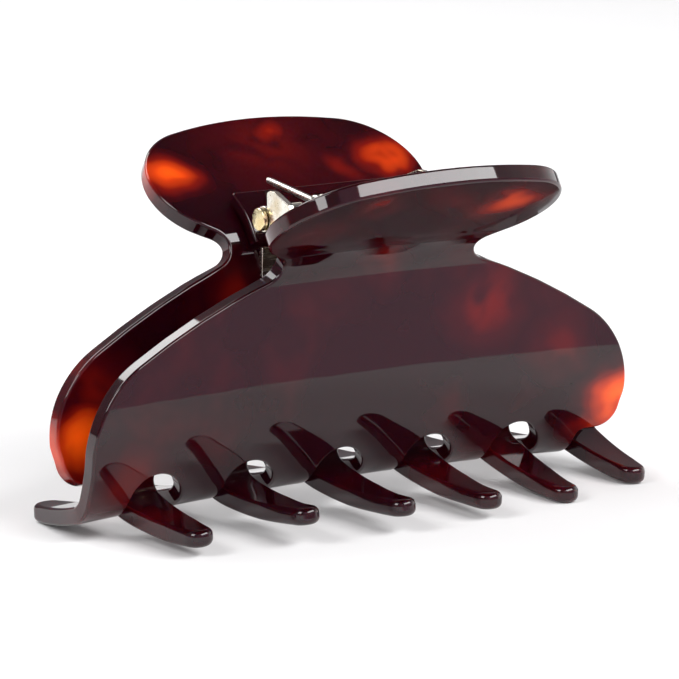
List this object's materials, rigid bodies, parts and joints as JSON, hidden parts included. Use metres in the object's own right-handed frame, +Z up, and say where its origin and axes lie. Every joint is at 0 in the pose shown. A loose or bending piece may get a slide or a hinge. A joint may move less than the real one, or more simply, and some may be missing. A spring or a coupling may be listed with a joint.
{
  "type": "claw clip",
  "caption": "Hair claw clip: two bent-sheet jaws with long interlocking teeth and oval finger paddles, closed by a coil spring on a steel hinge at the neck.",
  "frame": {"origin": "on the surface the clip stands on, under the middle of its closed outline", "axes": "+X along the clip and its hinge, -Y toward the front jaw, +Z up from the tooth tips to the finger paddles"},
  "size_m": [0.1066, 0.0634, 0.0608],
  "materials": {
    "jaw_shell": "polished cellulose acetate, dark tortoiseshell with amber patches",
    "seat_shell": "polished cellulose acetate",
    "leaf_steel": "bright plated steel",
    "pin_brass": "pale brass",
    "spring_steel": "bright spring wire"
  },
  "bodies": {
    "rear_half": {"rear_jaw": "jaw_shell", "rear_seat": "seat_shell", "rear_leaf": "leaf_steel", "hinge_pin": "pin_brass", "pin_head": "pin_brass", "spring": "spring_steel"},
    "front_half": {"front_jaw": "jaw_shell", "front_seat": "seat_shell", "front_leaf": "leaf_steel"}
  },
  "joints": [
    {"name": "jaw_hinge", "type": "hinge", "parent": "rear_half", "child": "front_half", "pos_m": [0, 0, 0.0493], "axis": [-1, 0, 0], "range_deg": [0, 60], "stiffness_Nm_per_rad": 0.12, "springref_deg": -45.84, "deforming": ["spring"]}
  ]
}
